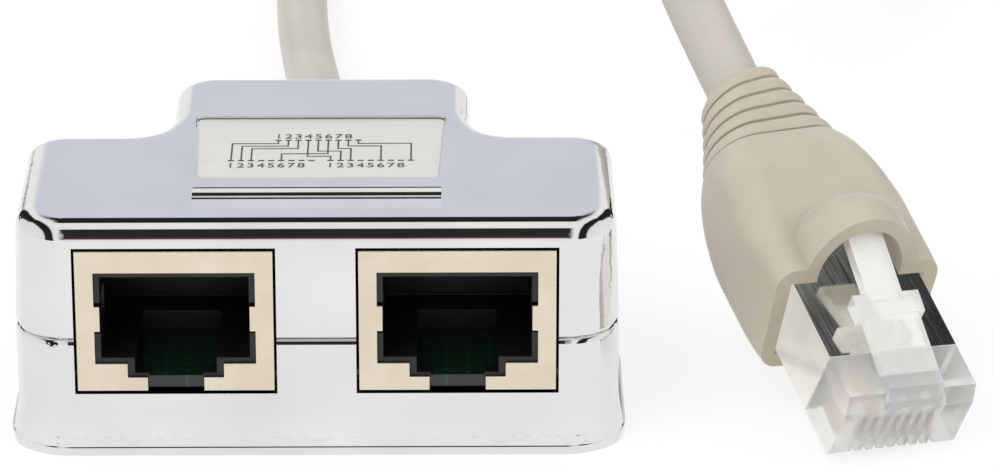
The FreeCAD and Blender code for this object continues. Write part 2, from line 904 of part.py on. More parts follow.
def plug_boot():
    """The boot: body, hood over the latch and ribbed tail, open in front with a sloping mouth."""
    boot = boot_body().fuse([dome(arch_radius + hood_wall)] + boot_tail())
    half = plug_width / 2 + boot_fit
    pocket = block(-half, half, 0, plug_length, -boot_fit, plug_height + boot_fit)
    reach = 2 * boot_length
    ahead = prism(
        [
            Vector(-reach, boot_mouth_bottom - reach * boot_mouth_slope, -reach),
            Vector(-reach, -reach, -reach),
            Vector(-reach, -reach, reach),
            Vector(-reach, boot_mouth_bottom + reach * boot_mouth_slope, reach),
        ],
        Vector(2 * reach, 0, 0),
    )
    return boot.cut([pocket, dome(arch_radius), ahead]).removeSplitter()


def boot_end():
    """The middle of the boot's tail and the direction that the cord leaves it in, where the plug lies."""
    shift, slope = boot_bend(boot_length)
    place = plug_placement()
    tail = place.multVec(Vector(-shift, boot_length, plug_height / 2))
    direction = place.Rotation.multVec(Vector(-slope, 1, 0))
    return tail, direction.normalize()


def placed(shape):
    """A piece of the plug, moved from the plug's own frame to where it lies."""
    copy = shape.copy()
    copy.Placement = plug_placement().multiply(copy.Placement)
    return copy


def export(name, shape):
    """Write one node's STEP file, and say so if it isn't one sound solid."""
    if shape.ShapeType == "Compound" and len(shape.Solids) == 1:
        shape = shape.Solids[0]
    if not shape.isValid() or len(shape.Solids) != 1:
        print("look at", name, "valid:", shape.isValid(), "solids:", len(shape.Solids))
    shape.exportStep(os.path.join("parts", name + ".step"))


def main():
    os.makedirs("parts", exist_ok=True)
    export("upper_shell", upper_shell())
    export("lower_shell", lower_shell())
    export("wiring_label", wiring_label())
    export("circuit_board", circuit_board())
    export("cable_collar", cable_collar())
    for name, place in screw_places.items():
        export("case_screw_" + name, case_screw(place))
    for side, centre in jack_centres().items():
        export("jack_shield_" + side, jack_shield(centre))
        export("jack_insert_" + side, jack_insert(centre))
        for i, offset in enumerate(contact_offsets(), 1):
            export("jack_contact_%s_%d" % (side, i), jack_contact(centre + offset))
    for i in range(contact_count):
        export("lead_%d" % (i + 1), lead(i))
    export("plug_body", placed(plug_body()))
    export("plug_shield", placed(plug_shield()))
    export("plug_boot", placed(plug_boot()))
    for i, x in enumerate(contact_offsets(), 1):
        export("plug_contact_%d" % i, placed(plug_contact(x)))
        export("plug_wire_%d" % i, placed(plug_wire(x)))
    tail, direction = boot_end()
    cable, length, radii = tube(cord_points + [tail + direction * boot_run, tail], cable_diameter)
    export("cable", cable)
    print("cord length %.1f, smallest radius %.1f" % (length, min(radii)), [round(r, 1) for r in radii])
    print("cord ends with", tail + direction * boot_run, tail)
    print("volume over section times length %.4f" % (cable.Volume / (math.pi * cable_diameter**2 / 4 * length)))


main()
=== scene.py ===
# %% [markdown]
# # A network splitter in chrome plated plastic
#
# The object is a small plated housing with two shielded sockets in front. A short cord leaves it at
# the back and ends in a clear plug with a moulded boot. The rigid parts come from the CAD frame,
# which has the real sizes. This notebook adds what Blender is good at: the cord as one smooth
# curve, the print on the label, soft edges, and a material for each finish.

# %% Load the frame
import math

import bmesh
import bpy
import numpy as np
from mathutils import Matrix, Vector


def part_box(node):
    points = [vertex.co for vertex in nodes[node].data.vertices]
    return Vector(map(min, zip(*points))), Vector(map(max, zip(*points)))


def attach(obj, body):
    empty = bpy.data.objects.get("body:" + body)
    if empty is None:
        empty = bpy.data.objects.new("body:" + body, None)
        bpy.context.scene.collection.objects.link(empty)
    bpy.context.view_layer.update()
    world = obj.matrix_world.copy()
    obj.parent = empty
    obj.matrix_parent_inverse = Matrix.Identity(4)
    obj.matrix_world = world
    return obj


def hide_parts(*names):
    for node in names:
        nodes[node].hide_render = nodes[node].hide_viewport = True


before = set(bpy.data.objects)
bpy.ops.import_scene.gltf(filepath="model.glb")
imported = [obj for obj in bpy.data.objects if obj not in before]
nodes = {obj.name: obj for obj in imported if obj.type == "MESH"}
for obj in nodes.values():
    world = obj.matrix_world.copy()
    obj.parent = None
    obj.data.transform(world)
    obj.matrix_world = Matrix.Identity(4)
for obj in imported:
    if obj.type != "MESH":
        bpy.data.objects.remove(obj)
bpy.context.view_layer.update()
scene = bpy.context.scene
mm = 0.001
print("nodes:", len(nodes))

# %% [markdown]
# ## The camera
#
# The photograph was taken with a long lens from 22.6 degrees above the table, square to the front
# of the housing. The housing fills the left of the picture, so the camera is turned a little to the
# right. Turning it keeps the lens unshifted, and at this distance the turn is too small to change
# the perspective.

# %% Camera
camera_data = bpy.data.cameras.new("camera")
camera_data.sensor_width = 36.0
camera_data.lens = 178.595
camera_data.clip_start = 0.01
camera_data.clip_end = 10.0
camera = bpy.data.objects.new("camera", camera_data)
scene.collection.objects.link(camera)

camera_place = Vector((10.852, -379.838, 170.582)) * mm
camera_pitch = math.radians(67.37)
camera_turn = math.radians(-0.537)
camera_roll = math.radians(-0.163)
camera.matrix_world = (
    Matrix.Translation(camera_place)
    @ Matrix.Rotation(camera_pitch, 4, "X")
    @ Matrix.Rotation(camera_turn, 4, "Y")
    @ Matrix.Rotation(camera_roll, 4, "Z")
)
scene.camera = camera
print("camera is", round(camera_place.length, 3), "m from the housing's foot")

# %% [markdown]
# ## The cord
#
# A network cord is a round vinyl jacket over eight thin wires. It is stiff enough to leave the
# collar straight, then it lies on the table and turns back to the plug. A NURBS spline draws that
# well: its control points are the corners of the route, and the curve rounds each of them by
# itself.

# %% Cord
cord_diameter = 5.0 * mm
jacket_steps = 8
route_steps = 24
cord_route = [
    (0.0, 17.6, 10.0),
    (-0.3, 35.0, 10.0),
    (-1.6, 54.0, 3.4),
    (-3.8, 76.0, 2.6),
    (-4.2, 98.0, 2.6),
    (4.0, 120.5, 2.6),
    (24.0, 132.5, 2.6),
    (46.5, 126.0, 2.6),
    (58.0, 106.0, 2.6),
    (54.5, 85.5, 8.0),
    (41.0, 68.5, 21.5),
    (28.5, 50.0, 31.5),
    (28.777, 29.142, 29.189),
    (35.308, 12.562, 20.110),
]


def curve_piece(name, points, diameter):
    """A round bar on a smooth NURBS spline. The radius of its points sets how thick it is."""
    data = bpy.data.curves.new(name, "CURVE")
    data.dimensions = "3D"
    data.bevel_depth = 1.0
    data.bevel_resolution = jacket_steps
    data.resolution_u = route_steps
    spline = data.splines.new("NURBS")
    spline.points.add(len(points) - 1)
    for point, place in zip(spline.points, points):
        point.co = (*(Vector(place) * mm), 1.0)
        point.radius = diameter / 2
    spline.order_u = 3
    spline.use_endpoint_u = True
    piece = bpy.data.objects.new(name, data)
    scene.collection.objects.link(piece)
    return piece


cord = curve_piece("cord", cord_route, cord_diameter)
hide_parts("cable")
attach(cord, "root")
print("cord control points:", len(cord_route))

# %% [markdown]
# ## Pulling the CAD forms into the photograph's shape
#
# The CAD shells have the right walls, windows and wells, but a little too much draft and flare for
# the photograph, and the CAD boot is a little too bent. To model them again would lose their exact
# windows and wells. So each is replaced by a copy that is pulled into shape: every point is moved
# by one smooth function of its place.
#
# A mirror shows the smallest error in a normal. So the normals are turned by the same function,
# through its slopes, and not guessed from the moved triangles. Each slope is taken just inside its
# face, clear of the creases.

# %% Pull a copy of a node into shape
inside_face = 0.02
slope_step = 0.001


def mesh_values(elements, name, columns=1, kind=float):
    """One property of all the elements of a mesh, as an array with this many columns."""
    values = np.empty(len(elements) * columns, dtype=kind)
    elements.foreach_get(name, values)
    return values.reshape(-1, columns) if columns > 1 else values


def reshaped(node_name, piece_name, move):
    """A copy of a node, its points moved by a function of millimetres and its normals turned to match."""
    data = nodes[node_name].data.copy()
    data.name = piece_name
    points = mesh_values(data.vertices, "co", 3) / mm
    normals = mesh_values(data.corner_normals, "vector", 3)
    corners = mesh_values(data.loops, "vertex_index", kind=int)
    centres = mesh_values(data.polygons, "center", 3) / mm
    corner_counts = mesh_values(data.polygons, "loop_total", kind=int)
    face_centres = np.repeat(centres, corner_counts, axis=0)
    spots = (1 - inside_face) * points[corners] + inside_face * face_centres
    slopes = [move(spots + slope_step * axis) - move(spots - slope_step * axis) for axis in np.eye(3)]
    sides = [np.cross(slopes[(i + 1) % 3], slopes[(i + 2) % 3]) for i in range(3)]
    turned = sum(side * share[:, None] for side, share in zip(sides, normals.T))
    turned /= np.linalg.norm(turned, axis=1)[:, None]
    data.vertices.foreach_set("co", (move(points) * mm).ravel())
    data.update()
    data.normals_split_custom_set(turned.tolist())
    piece = bpy.data.objects.new(piece_name, data)
    scene.collection.objects.link(piece)
    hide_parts(node_name)
    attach(piece, "root")
    print(piece_name, "has", len(data.polygons), "faces")
    return piece


def smooth_step(value, low, high):
    """From 0 at the low value to 1 at the high one, with a soft start and end."""
    share = np.clip((value - low) / (high - low), 0, 1)
    return share * share * (3 - 2 * share)


# %% [markdown]
# ## The housing's form
#
# All sizes are millimetres in the housing's own frame: x to the right, y to the rear, z up. Names
# that start with cad_ are the size before the change. The foot of a moulded half flares out to
# stand well, its walls lean in a little so that it leaves the mould, and the two halves meet in a
# rounded seam.

# %% The foot and the seam
cad_half_width, half_width = 24.3, 24.55
front_face, wing_rear, mid_depth = -16.4, 3.6, -6.0
front_corner, rear_corner = 4.3, 3.6
step_rear, step_half_width = 3.0, 17.0
parting_height = 10.0
wall_skin = 0.35
flare_base, flare_top = 0.75, 3.4
side_foot = {"cad_foot": 0.85, "cad_flare": 0.8, "foot": 0.6, "flare": 0.42}
front_foot = {"cad_foot": 1.1, "cad_flare": 1.034, "foot": 0.65, "flare": 0.48}
seam_bottom, seam_top, seam_depth = 9.6, 10.4, 0.4
seam_heights = (0, 9.0, 9.65, parting_height, 10.35, 11.0, 30)
new_seam_heights = (0, 9.0, 9.405, parting_height, 10.42, 11.0, 30)
rounder_below, rounder_above = 0.7, 0.2
tiny = 1e-9


def flared(excess, height, cad_foot, cad_flare, foot, flare):
    """How far a point of the foot stands out from the wall after the change."""
    below_flare = np.interp(excess, (0, cad_flare, cad_foot), (0, flare, foot))
    down = np.clip((flare_top - height) / (flare_top - flare_base), 0, 1)
    cad_curve = cad_flare * (1.047 * down**2 - 1.005 * down**3 + 0.958 * down**4)
    new_curve = flare * down**1.3
    return np.where(height < flare_base + 0.0002, below_flare, excess + new_curve - cad_curve)


def foot_and_seam(x, y, z):
    """A smaller flare at the foot, and rounder edges where the two shells meet."""
    front = y < mid_depth
    corner = np.where(front, front_corner, rear_corner)
    out_x = np.maximum(x - (cad_half_width - corner), 0)
    out_y = np.where(front, front_face + corner - y, y - wing_rear + corner)
    out_y = np.maximum(out_y, 0)
    reach = np.hypot(out_x, out_y) + tiny
    share_x, share_y = out_x / reach, out_y / reach
    excess = reach - corner
    outside = (y < step_rear) | (x > step_half_width)

    side = flared(excess, z, **side_foot)
    ahead = np.where(front, flared(excess, z, **front_foot), excess)
    change = side * share_x**2 + ahead * share_y**2 - excess
    change = np.where((z < flare_top) & (excess > -wall_skin) & outside, change, 0)

    seam = outside & (excess > -seam_depth) & (excess < 0.05)
    rounder = np.where(z < parting_height, rounder_below, rounder_above)
    change = np.where(seam & (z > seam_bottom) & (z < seam_top), excess * rounder, change)
    z = np.where(seam, np.interp(z, seam_heights, new_seam_heights), z)
    return x + change * share_x, y + change * share_y * np.where(front, -1, 1), z


# %% The walls, the grip and the top
cad_lean, lean = math.tan(math.radians(5.0)), math.tan(math.radians(2.0))
window_edge = 19.6
neck_starts, neck_full = 1.5, 6.5
neck_wider, neck_half_width, neck_fades = 0.55, 12.0, 3.6
middle_wider, label_edge = 0.35, 9.7
top_starts, top_ends, cad_top = 18.0, 19.2, 20.4
top_slope = math.radians(1.0)
top_drop = 0.2
rear_shift = 0.5
grip_half_width, grip_floor = 10.4, 19.5
grip_front, grip_wall, grip_rear = -13.5, -9.3, -8.0
grip_rise = 0.36
grip_wall_lean, grip_wall_hollow = 1.76, 1.044
shift_starts, shift_full = -14.5, -13.5


def walls(x, y, z):
    """Less draft from the outer edge of the windows on, and a wider neck and label pocket."""
    above = np.maximum(z - parting_height, 0)
    cad_half = cad_half_width - above * cad_lean
    wider = half_width - above * lean - cad_half
    wing = np.clip((x - window_edge) / (cad_half - window_edge), 0, 1) * wider
    neck = np.clip(x / neck_half_width, 0, 1) * np.clip((window_edge - x) / neck_fades, 0, 1)
    neck = neck * (neck_wider + above * (cad_lean - lean))
    middle = middle_wider * np.interp(x, (0, label_edge, window_edge), (0, 1, 0))
    middle = middle * smooth_step(z, top_starts, top_ends)
    in_neck = smooth_step(y, neck_starts, neck_full)
    return x + wing + neck * in_neck + middle * (1 - in_neck)


def housing_form(points):
    """The whole change, on one half of the housing and mirrored to the other."""
    x, y, z = points.T
    sign = np.sign(x)
    x, y, z = foot_and_seam(np.abs(x), y, z)
    x = walls(x, y, z)

    # The grip is shallower, and its rear wall is hollow
    deep = cad_top - z
    in_grip = (z > grip_floor) & (x < grip_half_width) & (y < grip_rear) & (y > grip_front)
    z = np.where(in_grip, z + deep * grip_rise, z)
    hollow = grip_wall_hollow * deep**2 - grip_wall_lean * deep
    y = np.where(in_grip & (y > grip_wall), y + hollow, y)

    # All behind the front moves back a little, and the top rises to the rear
    y = y + rear_shift * np.interp(y, (shift_starts, shift_full), (0, 1))
    z = z + (y * math.tan(top_slope) - top_drop) * smooth_step(z, top_starts, top_ends)
    return np.stack([sign * x, y, z], axis=1)


# %% [markdown]
# ## The boot's form
#
# The boot is soft and hollow, so a change of shape at its outside is a change of its inside as
# well. It is described in the plug's own frame, where y runs from the plug's tip to the tail. At
# each station along y the boot gets a new width and height, and its corners get fuller, which gives
# it flat sides. The CAD tail bends to one side by the cube of its length, and the same cube takes
# the bend out again.

# %% The boot
boot_frame = (
    Matrix.Translation((46.55, -16.84, 0.385))
    @ Matrix.Rotation(math.radians(21.5), 4, "Z")
    @ Matrix.Rotation(math.radians(27.0), 4, "X")
    @ Matrix.Rotation(math.radians(5.5), 4, "Y")
)
boot_axis = 3.3
mouth, ribs, tail = 10.2, 31.8, 39.0
new_ribs, new_tail = 28.9, 37.0
size_stations = (mouth, 17.0, 23.5, 28.8, ribs, tail)
cad_half_widths = (7.14, 7.39, 7.24, 6.64, 5.85, 3.6)
cad_half_heights = (4.6, 4.77, 4.68, 4.4, 3.85, 3.4)
stretch_stations = (mouth, 16.3, 21.9, 27.1, ribs, tail)
stretch_across = (1.014, 1.037, 1.077, 1.067, 1.094, 0.958)
stretch_upright = (1, 1.01, 1.059, 1.043, 1, 0.94)
corner_stations, fuller_corners = (mouth, 16.0, 24.0, ribs, tail), (0, 0.04, 0.07, 0.07, 0)
bend_starts, bend_measure = 24.0, 2700.0
hood_starts, hood_rise, hood_depth, hood_end = 7.9, 0.1, 18.0, 24.0


def boot_form(points):
    """A straight, shorter boot with flatter sides and a fuller shoulder."""
    turn = np.array(boot_frame.to_3x3())
    origin = np.array(boot_frame.translation)
    x, y, z = ((points - origin) @ turn).T
    x = x + np.maximum(y - bend_starts, 0) ** 3 / bend_measure
    across = np.clip(np.abs(x) / np.interp(y, size_stations, cad_half_widths), 0, 1.1)
    upright = np.clip(np.abs(z - boot_axis) / np.interp(y, size_stations, cad_half_heights), 0, 1.1)
    boxier = 1 + np.interp(y, corner_stations, fuller_corners) * (across * upright) ** 3
    x = x * np.interp(y, stretch_stations, stretch_across) * boxier
    hood = np.maximum(z - hood_starts, 0) * np.interp(y, (hood_depth, hood_end), (hood_rise, 0))
    z = boot_axis + (z - boot_axis) * np.interp(y, stretch_stations, stretch_upright) * boxier + hood
    y = np.interp(y, (0.0, mouth, ribs, tail), (0.0, mouth, new_ribs, new_tail))
    return np.stack([x, y, z], axis=1) @ turn.T + origin


# %% The pieces that replace them
boot_piece = reshaped("plug_boot", "boot", boot_form)
boot_piece.visible_glossy = False
upper_piece = reshaped("upper_shell", "plated_top", housing_form)
lower_piece = reshaped("lower_shell", "plated_base", housing_form)
label_piece = reshaped("wiring_label", "label_film", housing_form)

# %% What hangs on the cord
plug_pieces = ["boot", "plug_body", "plug_shield"]
plug_pieces += ["plug_%s_%d" % (kind, i) for kind in ("contact", "wire") for i in range(1, 9)]
print("pieces on the cord:", len(plug_pieces))

# %% [markdown]
# ## Tools for the finishes
#
# Blender works with linear light, and hex colours are written for screens, so one function turns
# one into the other. A second one adds a node to a material and joins it up. Every finish below is
# built from those two.

# %% Colour and node helpers
def linear(hex_colour):
    """An sRGB hex colour as linear red, green, blue and alpha."""
    values = [int(hex_colour[i : i + 2], 16) / 255 for i in (1, 3, 5)]
    return tuple(v / 12.92 if v <= 0.04045 else ((v + 0.055) / 1.055) ** 2.4 for v in values) + (1.0,)


def add_node(tree, kind, sockets=None, stops=(), **settings):
    """Add a node with its settings. A socket gets a value, or another node's output as a link."""
    node = tree.nodes.new(kind)
    for name, value in settings.items():
        setattr(node, name, value)
    for socket, value in (sockets or {}).items():
        if isinstance(value, bpy.types.NodeSocket):
            tree.links.new(value, node.inputs[socket])
        else:
            node.inputs[socket].default_value = value
    if stops:
        elements = node.color_ramp.elements
        while len(elements) < len(stops):
            elements.new(0.5)
        for element, (place, colour) in zip(elements, stops):
            element.position = place
            element.color = linear(colour)
    return node


def new_material(name, sockets):
    """A material with one Principled shader, its socket values, and coordinates in metres on the object."""
    material = bpy.data.materials.new(name)
    material.use_nodes = True
    tree = material.node_tree
    tree.nodes.clear()
    shader = add_node(tree, "ShaderNodeBsdfPrincipled", sockets)
    add_node(tree, "ShaderNodeOutputMaterial", {"Surface": shader.outputs[0]})
    place = add_node(tree, "ShaderNodeTexCoord").outputs["Object"]
    return material, tree, shader, place


def scale_for(size_in_mm):
    """The scale that makes a texture's features this large on the object."""
    return 1 / (size_in_mm * mm)


def finish(material, *names):
    """Give CAD nodes a finish."""
    for name in names:
        for material_slot in nodes[name].material_slots:
            material_slot.material = material
    print(material.name, "on", len(names), "nodes")


def coat(material, *pieces):
    """Give pieces of this script a finish."""
    for piece in pieces:
        piece.data.materials.clear()
        piece.data.materials.append(material)
    print(material.name, "on", len(pieces), "pieces")


# %% [markdown]
# ## Chrome plating
#
# The shells are ABS, moulded and then plated with copper, nickel and a thin skin of chrome. Chrome
# has almost no colour of its own: what the eye sees is the room, a little darker.
# Polished moulds leave it nearly free of haze, but the plastic under it has a faint long wave,
# which makes straight reflections wander. The wave is a bump of a few thousandths of a millimetre
# over several millimetres.

# %% Chrome plated ABS
chrome, tree, shader, place = new_material("chrome_plated_abs", {"Metallic": 1.0})
cloud = add_node(tree, "ShaderNodeTexNoise", {"Vector": place, "Scale": scale_for(9.0), "Detail": 2.0})
tone = add_node(
    tree, "ShaderNodeValToRGB", {"Fac": cloud.outputs["Fac"]}, stops=[(0.3, "#DCDCDB"), (0.7, "#E5E5E4")]
)
haze = add_node(tree, "ShaderNodeTexNoise", {"Vector": place, "Scale": scale_for(0.6), "Detail": 4.0})
gloss = add_node(
    tree,
    "ShaderNodeMapRange",
    {"Value": haze.outputs["Fac"], "From Min": 0.3, "From Max": 0.7, "To Min": 0.03, "To Max": 0.075},
)
wave = add_node(tree, "ShaderNodeTexNoise", {"Vector": place, "Scale": scale_for(5.0), "Detail": 1.0})
ripple = add_node(
    tree, "ShaderNodeBump", {"Height": wave.outputs["Fac"], "Strength": 1.0, "Distance": 0.012 * mm}
)
tree.links.new(tone.outputs["Color"], shader.inputs["Base Color"])
tree.links.new(gloss.outputs["Result"], shader.inputs["Roughness"])
tree.links.new(ripple.outputs["Normal"], shader.inputs["Normal"])
coat(chrome, upper_piece, lower_piece)

# %% [markdown]
# ## The label
#
# The label is a silver polyester film with a satin lacquer. It is less a mirror than a bright grey
# paint, with the faint parallel lines of the rolled film. Noise that is stretched a hundred times
# in one direction gives those.

# %% Satin label film
label_film, tree, shader, place = new_material("satin_label_film", {"Metallic": 0.25, "Roughness": 0.42})
stretch = add_node(
    tree,
    "ShaderNodeMapping",
    {"Vector": place, "Scale": (scale_for(6.0), scale_for(0.12), scale_for(1.0))},
)
rolled = add_node(
    tree, "ShaderNodeTexNoise", {"Vector": stretch.outputs["Vector"], "Scale": 1.0, "Detail": 3.0}
)
tone = add_node(
    tree, "ShaderNodeValToRGB", {"Fac": rolled.outputs["Fac"]}, stops=[(0.3, "#E6E6DF"), (0.7, "#F0F0EA")]
)
ripple = add_node(
    tree, "ShaderNodeBump", {"Height": rolled.outputs["Fac"], "Strength": 0.5, "Distance": 0.01 * mm}
)
tree.links.new(tone.outputs["Color"], shader.inputs["Base Color"])
tree.links.new(ripple.outputs["Normal"], shader.inputs["Normal"])
coat(label_film, label_piece)

# %% [markdown]
# ## Plated sheet metal
#
# The socket cans are tin plated brass and look warm and creamy. The plug's sleeve is bright nickel.
# Both are cold rolled, so their haze runs in lines, and both are full metals: colour comes only
# from the reflection.


# %% Plated sheet
def rolled_sheet(name, dark, light, roughness, line_width, rotation=(0.0, 0.0, 0.0)):
    """A plated sheet metal with rolling lines of this width in millimetres."""
    material, tree, shader, place = new_material(name, {"Metallic": 1.0})
    turned = add_node(tree, "ShaderNodeMapping", {"Vector": place, "Rotation": rotation})
    lines = add_node(
        tree,
        "ShaderNodeMapping",
        {
            "Vector": turned.outputs["Vector"],
            "Scale": (scale_for(line_width), scale_for(4.0), scale_for(line_width)),
        },
    )
    noise = add_node(
        tree, "ShaderNodeTexNoise", {"Vector": lines.outputs["Vector"], "Scale": 1.0, "Detail": 3.0}
    )
    cloud = add_node(tree, "ShaderNodeTexNoise", {"Vector": place, "Scale": scale_for(3.0), "Detail": 2.0})
    tone = add_node(
        tree, "ShaderNodeValToRGB", {"Fac": cloud.outputs["Fac"]}, stops=[(0.3, dark), (0.7, light)]
    )
    gloss = add_node(
        tree,
        "ShaderNodeMapRange",
        {
            "Value": noise.outputs["Fac"],
            "From Min": 0.3,
            "From Max": 0.7,
            "To Min": roughness * 0.75,
            "To Max": roughness * 1.25,
        },
    )
    ripple = add_node(
        tree, "ShaderNodeBump", {"Height": noise.outputs["Fac"], "Strength": 0.4, "Distance": 0.004 * mm}
    )
    tree.links.new(tone.outputs["Color"], shader.inputs["Base Color"])
    tree.links.new(gloss.outputs["Result"], shader.inputs["Roughness"])
    tree.links.new(ripple.outputs["Normal"], shader.inputs["Normal"])
    return material


tin_plate = rolled_sheet("tin_plated_brass", "#DCD0BC", "#E4D9C7", 0.24, 0.2)
finish(tin_plate, "jack_shield_left", "jack_shield_right")
plug_turn = (math.radians(-27.0), math.radians(-5.5), math.radians(-21.5))
nickel_plate = rolled_sheet("bright_nickel_plate", "#EFECE3", "#F7F5EF", 0.1, 0.15, plug_turn)
finish(nickel_plate, "plug_shield")
zinc_plate = rolled_sheet("zinc_plated_steel", "#A9ACB0", "#C2C4C6", 0.3, 0.2)
finish(zinc_plate, "case_screw_front", "case_screw_left", "case_screw_right")
gold_plate = rolled_sheet("gold_plated_bronze", "#D3A94E", "#E3C377", 0.2, 0.1)
finish(
    gold_plate,
    *["jack_contact_%s_%d" % (side, i) for side in ("left", "right") for i in range(1, 9)],
    *["plug_contact_%d" % i for i in range(1, 9)],
)

# %% [markdown]
# ## Black socket moulding
#
# The moulding inside each can is glass filled polyester, satin black. Its grain is far finer than a
# pixel, so it is drawn at four tenths of a millimetre, where it still breaks up the highlights.


# %% Moulded plastics
def moulded_plastic(name, dark, light, cloud_size, grain_size, grain_depth, sockets):
    """A moulded plastic: a slow change of colour, and a fine grain as bump. Sizes are in millimetres."""
    material, tree, shader, place = new_material(name, sockets)
    cloud = add_node(
        tree, "ShaderNodeTexNoise", {"Vector": place, "Scale": scale_for(cloud_size), "Detail": 3.0}
    )
    tone = add_node(
        tree, "ShaderNodeValToRGB", {"Fac": cloud.outputs["Fac"]}, stops=[(0.3, dark), (0.7, light)]
    )
    grain = add_node(
        tree, "ShaderNodeTexNoise", {"Vector": place, "Scale": scale_for(grain_size), "Detail": 4.0}
    )
    relief = add_node(
        tree,
        "ShaderNodeBump",
        {"Height": grain.outputs["Fac"], "Strength": 0.6, "Distance": grain_depth * mm},
    )
    tree.links.new(tone.outputs["Color"], shader.inputs["Base Color"])
    tree.links.new(relief.outputs["Normal"], shader.inputs["Normal"])
    return material


black_moulding = moulded_plastic(
    "satin_black_polyester", "#0B0C0D", "#141516", 3.0, 0.4, 0.02, {"Roughness": 0.38}
)
finish(black_moulding, "jack_insert_left", "jack_insert_right")

# %% [markdown]
# ## Vinyl: jacket, boot and collar
#
# All three are soft PVC in warm grey. The jacket is extruded and fairly smooth. The boot is moulded
# and a little yellower, and light enters it before it comes back, which softens its shadows. That
# is what subsurface does.

# %% Vinyl
jacket_vinyl = moulded_plastic(
    "extruded_vinyl_jacket",
    "#C7C1B8",
    "#D0CAC1",
    12.0,
    1.2,
    0.02,
    {"Roughness": 0.4, "Subsurface Weight": 0.1, "Subsurface Scale": 0.4 * mm},
)
coat(jacket_vinyl, cord)
boot_vinyl = moulded_plastic(
    "moulded_vinyl_boot",
    "#C5BCAB",
    "#CDC6B6",
    7.0,
    0.5,
    0.012,
    {"Roughness": 0.42, "Subsurface Weight": 0.2, "Subsurface Scale": 0.8 * mm},
)
coat(boot_vinyl, boot_piece)
collar_vinyl = moulded_plastic(
    "moulded_vinyl_collar", "#C6C1BA", "#CFCAC3", 5.0, 0.5, 0.012, {"Roughness": 0.42}
)
finish(collar_vinyl, "cable_collar")

# %% [markdown]
# ## The clear plug
#
# The plug is moulded polycarbonate, and its look is what its edges do to the white room, the
# coloured wires and the nickel sleeve behind them. Solid polycarbonate has an IOR of 1.585. The
# real plug is full of slots, though, and so much light leaves it that it looks pale. The model has
# fewer slots, so the IOR is lower, which traps less light inside, and four tenths of the surface
# scatter light like frosted plastic instead of letting it through.

# %% Clear polycarbonate
clear_plastic, tree, shader, place = new_material(
    "clear_polycarbonate", {"Transmission Weight": 0.6, "IOR": 1.2}
)
flow = add_node(tree, "ShaderNodeTexNoise", {"Vector": place, "Scale": scale_for(2.0), "Detail": 2.0})
tone = add_node(
    tree, "ShaderNodeValToRGB", {"Fac": flow.outputs["Fac"]}, stops=[(0.3, "#FAFAF8"), (0.7, "#FFFFFE")]
)
gloss = add_node(
    tree,
    "ShaderNodeMapRange",
    {"Value": flow.outputs["Fac"], "From Min": 0.3, "From Max": 0.7, "To Min": 0.02, "To Max": 0.07},
)
ripple = add_node(
    tree, "ShaderNodeBump", {"Height": flow.outputs["Fac"], "Strength": 0.5, "Distance": 0.02 * mm}
)
tree.links.new(tone.outputs["Color"], shader.inputs["Base Color"])
tree.links.new(gloss.outputs["Result"], shader.inputs["Roughness"])
tree.links.new(ripple.outputs["Normal"], shader.inputs["Normal"])
finish(clear_plastic, "plug_body")

# %% [markdown]
# ## Wires
#
# Eight wires in four pairs: each pair has a plain colour and a white wire with rings of that
# colour. The rings are about a millimetre wide and three apart, drawn by a wave texture across the
# wire's direction.


# %% Wire insulation
def wire_insulation(name, ground, ring):
    """Glossy insulation in a ground colour with rings of another."""
    material, tree, shader, place = new_material(name, {"Roughness": 0.3})
    turned = add_node(tree, "ShaderNodeMapping", {"Vector": place, "Rotation": plug_turn})
    rings = add_node(
        tree,
        "ShaderNodeTexWave",
        {"Vector": turned.outputs["Vector"], "Scale": scale_for(3.0) / math.tau, "Distortion": 0.0},
        bands_direction="Y",
    )
    tone = add_node(
        tree, "ShaderNodeValToRGB", {"Fac": rings.outputs["Fac"]}, stops=[(0.62, ground), (0.7, ring)]
    )
    tree.links.new(tone.outputs["Color"], shader.inputs["Base Color"])
    return material


pairs = {"orange": "#DB6A2B", "green": "#3B8C4E", "blue": "#2F5CAA", "brown": "#7B4C30"}
order = ("white_orange", "orange", "white_green", "blue", "white_blue", "green", "white_brown", "brown")
for i, colour in enumerate(order, 1):
    ring = pairs[colour.split("_")[-1]]
    ground = "#ECE8E0" if colour.startswith("white") else ring
    insulation = wire_insulation("insulation_" + colour, ground, ring)
    finish(insulation, "lead_%d" % i, "plug_wire_%d" % i)

# %% [markdown]
# ## The circuit board
#
# The board is glass epoxy under green solder resist. Copper tracks show through the resist as lighter
# lines, which a brick pattern gives, and the resist itself is glossy like a lacquer. Its green is painted
# almost black, far darker than the resist is, as painted shade for the board that lies deep under the
# sockets.

# %% Solder resist, painted dark as shade
resist_with_painted_shade, tree, shader, place = new_material(
    "green_resist_with_painted_shade", {"Roughness": 0.3, "Coat Weight": 0.5}
)
# The two resist colours are painted nearly black: painted shade for the board deep under the sockets.
tracks = add_node(
    tree,
    "ShaderNodeTexBrick",
    {
        "Vector": place,
        "Color1": linear("#031009"),
        "Color2": linear("#04150D"),
        "Mortar": linear("#103A27"),
        "Scale": 1.0,
        "Mortar Size": 0.1 * mm,
        "Brick Width": 3.5 * mm,
        "Row Height": 0.6 * mm,
    },
)
tree.links.new(tracks.outputs["Color"], shader.inputs["Base Color"])
finish(resist_with_painted_shade, "circuit_board")

# %% [markdown]
# ## Print on the label
#
# The real label carries a small wiring diagram. This one is a plain diagram of the same kind: nine
# pins above, two rows of nine below, numbers for the eight signal pins, and stepped lines that join
# them. Ink has a thickness, so each line is a very thin bar that lies on the film, and the numbers
# are text turned into mesh. The whole print then moves with the film, which the housing's form has
# shifted, lowered and tilted by one degree.

